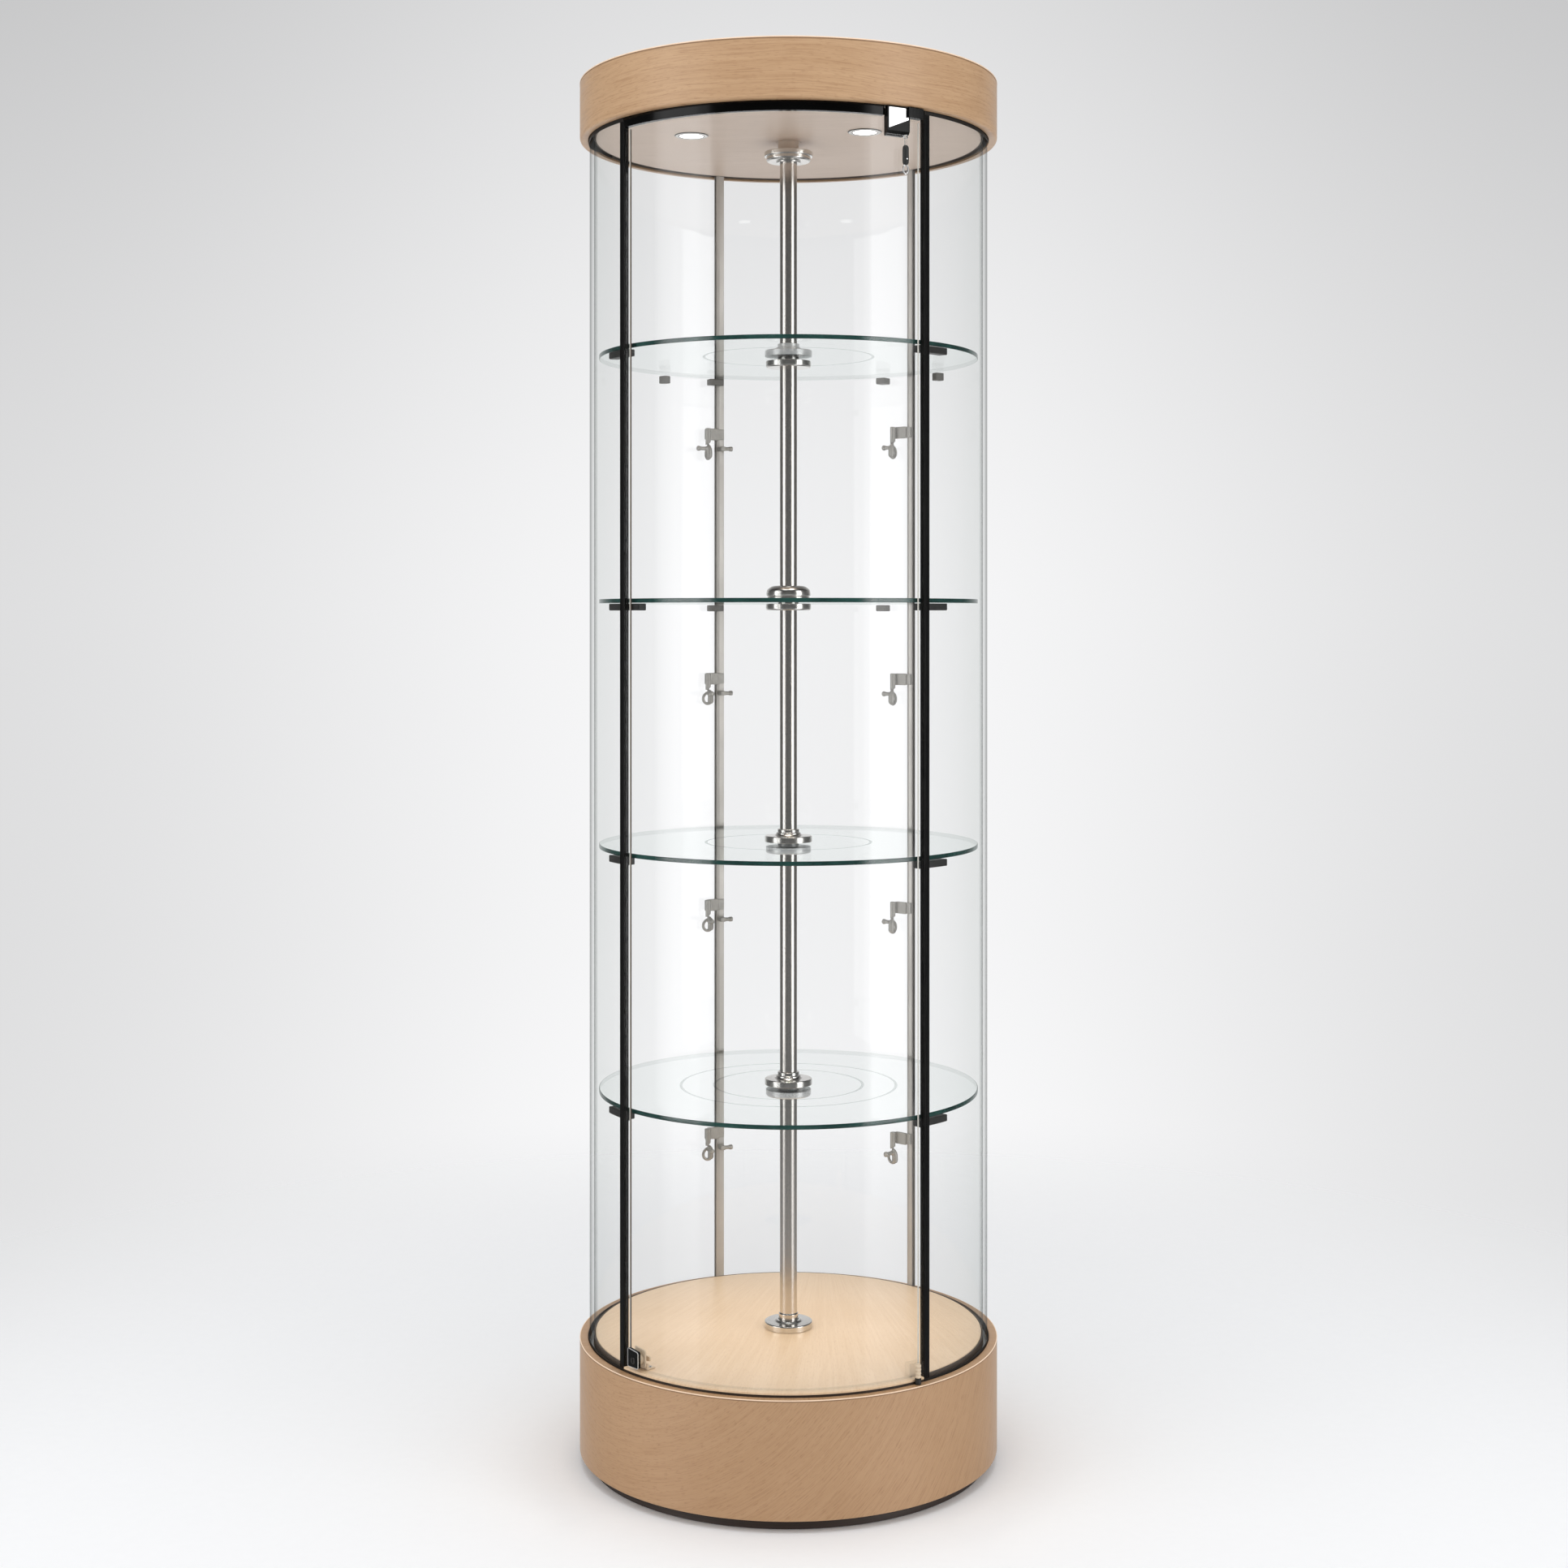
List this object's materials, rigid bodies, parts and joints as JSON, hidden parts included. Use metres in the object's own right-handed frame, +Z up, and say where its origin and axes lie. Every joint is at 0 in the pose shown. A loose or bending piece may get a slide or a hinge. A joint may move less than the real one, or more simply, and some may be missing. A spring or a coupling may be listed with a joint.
{
  "type": "revolving glass display cabinet",
  "caption": "Round glass showcase on a veneered drum: glass shelves on a central pole revolve inside a fixed glass cylinder with a curved lockable door.",
  "frame": {"origin": "centre of the circular resting face of the plinth", "axes": "+Z up along the pole, the door is centred on -Y, +X to the right seen from the door"},
  "size_m": [0.6, 0.6, 1.97],
  "materials": {
    "drum_veneer": "satin lacquered maple veneer",
    "deck_veneer": "satin lacquered maple veneer, pale",
    "ceiling_veneer": "satin lacquered maple veneer, greyer",
    "plain_board": "raw board",
    "dark_board": "dark matt edge",
    "clear_glass": "clear polished curved glass",
    "shelf_glass": "clear polished glass with green edges",
    "black_metal": "satin black",
    "satin_metal": "satin",
    "brushed_steel": "fine brushed",
    "pole_steel": "polished brushed",
    "chrome": "bright",
    "seal_rubber": "matt black",
    "black_plastic": "fine matt",
    "pale_plastic": "natural nylon",
    "light_lens": "glowing diffuser"
  },
  "bodies": {
    "cabinet": {"plinth_ring": "dark_board", "base_board": "plain_board", "base_drum": "drum_veneer", "deck_panel": "deck_veneer", "base_glass_seal": "seal_rubber", "glass_panel_left": "clear_glass", "glass_panel_back": "clear_glass", "glass_panel_right": "clear_glass", "post_front_left": "black_metal", "post_front_right": "black_metal", "post_back_left": "satin_metal", "post_back_right": "satin_metal", "canopy_drum": "drum_veneer", "canopy_lid": "plain_board", "ceiling_panel": "ceiling_veneer", "canopy_glass_seal": "seal_rubber", "door_head_strip": "seal_rubber", "downlight_bezel_left": "chrome", "downlight_bezel_right": "chrome", "downlight_lens_left": "light_lens", "downlight_lens_right": "light_lens", "light_driver": "pale_plastic", "gear_motor": "satin_metal", "power_inlet": "black_plastic", "deck_flange": "brushed_steel", "lower_bearing": "brushed_steel", "ceiling_flange": "brushed_steel", "upper_bush": "pale_plastic", "lock_keeper": "brushed_steel", "pivot_block_bottom": "black_plastic", "steady_pad_1": "black_plastic", "steady_pad_2": "black_plastic"},
    "door": {"door_glass": "clear_glass", "hinge_clamp_top": "black_metal", "hinge_clamp_bottom": "brushed_steel", "lock_housing": "black_metal"},
    "lock": {"lock_cylinder": "chrome"},
    "release": {"hinge_release": "black_plastic"},
    "spindle": {"spindle_pole": "pole_steel", "drive_coupling": "brushed_steel", "shelf_1": "shelf_glass", "shelf_2": "shelf_glass", "shelf_3": "shelf_glass", "shelf_4": "shelf_glass", "upper_collar_1": "brushed_steel", "upper_collar_2": "brushed_steel", "upper_collar_3": "brushed_steel", "upper_collar_4": "brushed_steel", "lower_collar_1": "brushed_steel", "lower_collar_2": "brushed_steel", "lower_collar_3": "brushed_steel", "lower_collar_4": "brushed_steel"},
    "hook_left_1": {"hook_eye_left_1": "satin_metal"},
    "hook_left_2": {"hook_eye_left_2": "satin_metal"},
    "hook_left_3": {"hook_eye_left_3": "satin_metal"},
    "hook_left_4": {"hook_eye_left_4": "satin_metal"},
    "hook_right_1": {"hook_eye_right_1": "satin_metal"},
    "hook_right_2": {"hook_eye_right_2": "satin_metal"},
    "hook_right_3": {"hook_eye_right_3": "satin_metal"},
    "hook_right_4": {"hook_eye_right_4": "satin_metal"}
  },
  "joints": [
    {"name": "spindle_turn", "type": "hinge", "parent": "cabinet", "child": "spindle", "pos_m": [0, 0, 0.181], "axis": [0, 0, 1], "continuous": true},
    {"name": "door_swing", "type": "hinge", "parent": "cabinet", "child": "door", "pos_m": [0.19765, -0.21494, 1], "axis": [0, 0, 1], "range_deg": [0, 100]},
    {"name": "lock_turn", "type": "hinge", "parent": "door", "child": "lock", "pos_m": [-0.18147, -0.21323, 0.196], "axis": [0.6481, 0.7615, 0], "range_deg": [0, 90]},
    {"name": "release_pull", "type": "slide", "parent": "door", "child": "release", "axis": [0, 0, -1], "range_m": [0, 0.004], "stiffness_N_per_m": 300},
    {"name": "hook_turn_left_1", "type": "hinge", "parent": "cabinet", "child": "hook_left_1", "pos_m": [-0.14858, 0.22433, 1.468], "axis": [0, 0, 1], "range_deg": [0, 125]},
    {"name": "hook_turn_left_2", "type": "hinge", "parent": "cabinet", "child": "hook_left_2", "pos_m": [-0.14858, 0.22433, 1.089], "axis": [0, 0, 1], "range_deg": [-85, 40]},
    {"name": "hook_turn_left_3", "type": "hinge", "parent": "cabinet", "child": "hook_left_3", "pos_m": [-0.14858, 0.22433, 0.738], "axis": [0, 0, 1], "range_deg": [-85, 40]},
    {"name": "hook_turn_left_4", "type": "hinge", "parent": "cabinet", "child": "hook_left_4", "pos_m": [-0.14858, 0.22433, 0.384], "axis": [0, 0, 1], "range_deg": [-85, 40]},
    {"name": "hook_turn_right_1", "type": "hinge", "parent": "cabinet", "child": "hook_right_1", "pos_m": [0.1369, 0.23164, 1.468], "axis": [0, 0, 1], "range_deg": [0, 125]},
    {"name": "hook_turn_right_2", "type": "hinge", "parent": "cabinet", "child": "hook_right_2", "pos_m": [0.1369, 0.23164, 1.089], "axis": [0, 0, 1], "range_deg": [0, 125]},
    {"name": "hook_turn_right_3", "type": "hinge", "parent": "cabinet", "child": "hook_right_3", "pos_m": [0.1369, 0.23164, 0.738], "axis": [0, 0, 1], "range_deg": [0, 125]},
    {"name": "hook_turn_right_4", "type": "hinge", "parent": "cabinet", "child": "hook_right_4", "pos_m": [0.1369, 0.23164, 0.384], "axis": [0, 0, 1], "range_deg": [-85, 40]}
  ]
}
